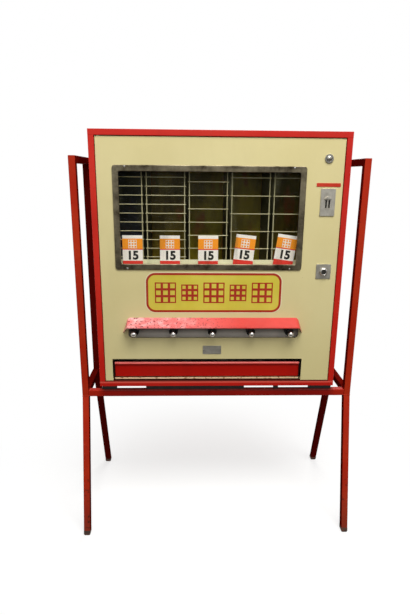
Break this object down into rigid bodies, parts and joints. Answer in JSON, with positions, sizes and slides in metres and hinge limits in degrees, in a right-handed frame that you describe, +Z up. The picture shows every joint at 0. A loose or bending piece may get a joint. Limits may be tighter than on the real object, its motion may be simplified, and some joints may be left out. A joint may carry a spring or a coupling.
{
  "type": "coin-operated column vending machine",
  "caption": "Shallow wall-type vending cabinet with window, pull knobs, coin slots and delivery flap, seated on a splayed square-tube stand.",
  "frame": {"origin": "on the floor, midway between the four feet", "axes": "+Z up, the front with the window faces -Y, +X to the right seen from the front"},
  "size_m": [0.828, 0.427, 1.203],
  "materials": {
    "stand_red": "worn gloss paint",
    "foot_rubber": "matt",
    "zinc_steel": "zinc plated",
    "cabinet_red": "stove enamel, gloss",
    "flap_red": "stove enamel, gloss",
    "column_dark": "dark satin paint",
    "wire_cream": "satin paint",
    "card": "printed card",
    "grey_steel": "dull plated",
    "collar_black": "moulded, satin",
    "knob_chrome": "chrome plated, worn",
    "spring_steel": "plain wire",
    "door_cream": "stove enamel, satin",
    "window_trim": "polished, dulled",
    "window_glass": "clear",
    "plate_steel": "satin"
  },
  "bodies": {
    "cabinet": {"front_uprights": "stand_red", "rear_uprights": "stand_red", "top_bars": "stand_red", "side_rails": "stand_red", "cross_rails": "stand_red", "front_legs": "stand_red", "rear_legs": "stand_red", "foot_caps": "foot_rubber", "cabinet_pads": "foot_rubber", "cabinet_bolts": "zinc_steel", "hinge_pins": "zinc_steel", "flap_rod": "zinc_steel", "lock_strike": "zinc_steel", "side_panel_left": "cabinet_red", "side_panel_right": "cabinet_red", "top_panel": "cabinet_red", "bottom_panel": "cabinet_red", "back_panel": "cabinet_red", "column_dividers": "column_dark", "column_floor": "column_dark", "card_rail": "wire_cream", "wire_guard_1": "wire_cream", "wire_guard_2": "wire_cream", "wire_guard_3": "wire_cream", "wire_guard_4": "wire_cream", "wire_guard_5": "wire_cream", "price_cards": "card", "mechanism_bar": "grey_steel", "delivery_chute": "grey_steel", "cash_box": "grey_steel", "knob_collars": "collar_black", "return_spring_1": "spring_steel", "return_spring_2": "spring_steel", "return_spring_3": "spring_steel", "return_spring_4": "spring_steel", "return_spring_5": "spring_steel", "delivery_tray": "door_cream"},
    "door": {"door_panel": "door_cream", "window_trim": "window_trim", "window_glass": "window_glass", "knob_hood": "cabinet_red", "maker_plate": "plate_steel", "coin_plate": "plate_steel", "coin_mechanism": "grey_steel", "button_bezel": "knob_chrome", "lock_plate": "plate_steel", "lock_barrel": "knob_chrome"},
    "flap": {"delivery_flap": "flap_red"},
    "coin_return": {"return_button": "knob_chrome"},
    "lock": {"lock_plug": "knob_chrome"},
    "knob_1": {"pull_knob_1": "knob_chrome", "vend_slide_1": "grey_steel"},
    "knob_2": {"pull_knob_2": "knob_chrome", "vend_slide_2": "grey_steel"},
    "knob_3": {"pull_knob_3": "knob_chrome", "vend_slide_3": "grey_steel"},
    "knob_4": {"pull_knob_4": "knob_chrome", "vend_slide_4": "grey_steel"},
    "knob_5": {"pull_knob_5": "knob_chrome", "vend_slide_5": "grey_steel"}
  },
  "joints": [
    {"name": "door_hinge", "type": "hinge", "parent": "cabinet", "child": "door", "pos_m": [-0.334, -0.1045, 0.83], "axis": [0, 0, -1], "range_deg": [0, 105]},
    {"name": "flap_swing", "type": "hinge", "parent": "cabinet", "child": "flap", "pos_m": [-0.031, -0.0975, 0.527], "axis": [1, 0, 0], "range_deg": [0, 60]},
    {"name": "coin_return_press", "type": "slide", "parent": "door", "child": "coin_return", "axis": [0, 1, 0], "range_m": [0, 0.004], "stiffness_N_per_m": 400, "springref_m": -0.003},
    {"name": "lock_turn", "type": "hinge", "parent": "door", "child": "lock", "pos_m": [0.304, -0.11, 0.817], "axis": [0, -1, 0], "range_deg": [0, 90]},
    {"name": "knob_pull_1", "type": "slide", "parent": "cabinet", "child": "knob_1", "axis": [0, -1, 0], "range_m": [0, 0.04], "stiffness_N_per_m": 150, "springref_m": -0.01, "deforming": ["return_spring_1"]},
    {"name": "knob_pull_2", "type": "slide", "parent": "cabinet", "child": "knob_2", "axis": [0, -1, 0], "range_m": [0, 0.04], "stiffness_N_per_m": 150, "springref_m": -0.01, "deforming": ["return_spring_2"]},
    {"name": "knob_pull_3", "type": "slide", "parent": "cabinet", "child": "knob_3", "axis": [0, -1, 0], "range_m": [0, 0.04], "stiffness_N_per_m": 150, "springref_m": -0.01, "deforming": ["return_spring_3"]},
    {"name": "knob_pull_4", "type": "slide", "parent": "cabinet", "child": "knob_4", "axis": [0, -1, 0], "range_m": [0, 0.04], "stiffness_N_per_m": 150, "springref_m": -0.01, "deforming": ["return_spring_4"]},
    {"name": "knob_pull_5", "type": "slide", "parent": "cabinet", "child": "knob_5", "axis": [0, -1, 0], "range_m": [0, 0.04], "stiffness_N_per_m": 150, "springref_m": -0.01, "deforming": ["return_spring_5"]}
  ]
}
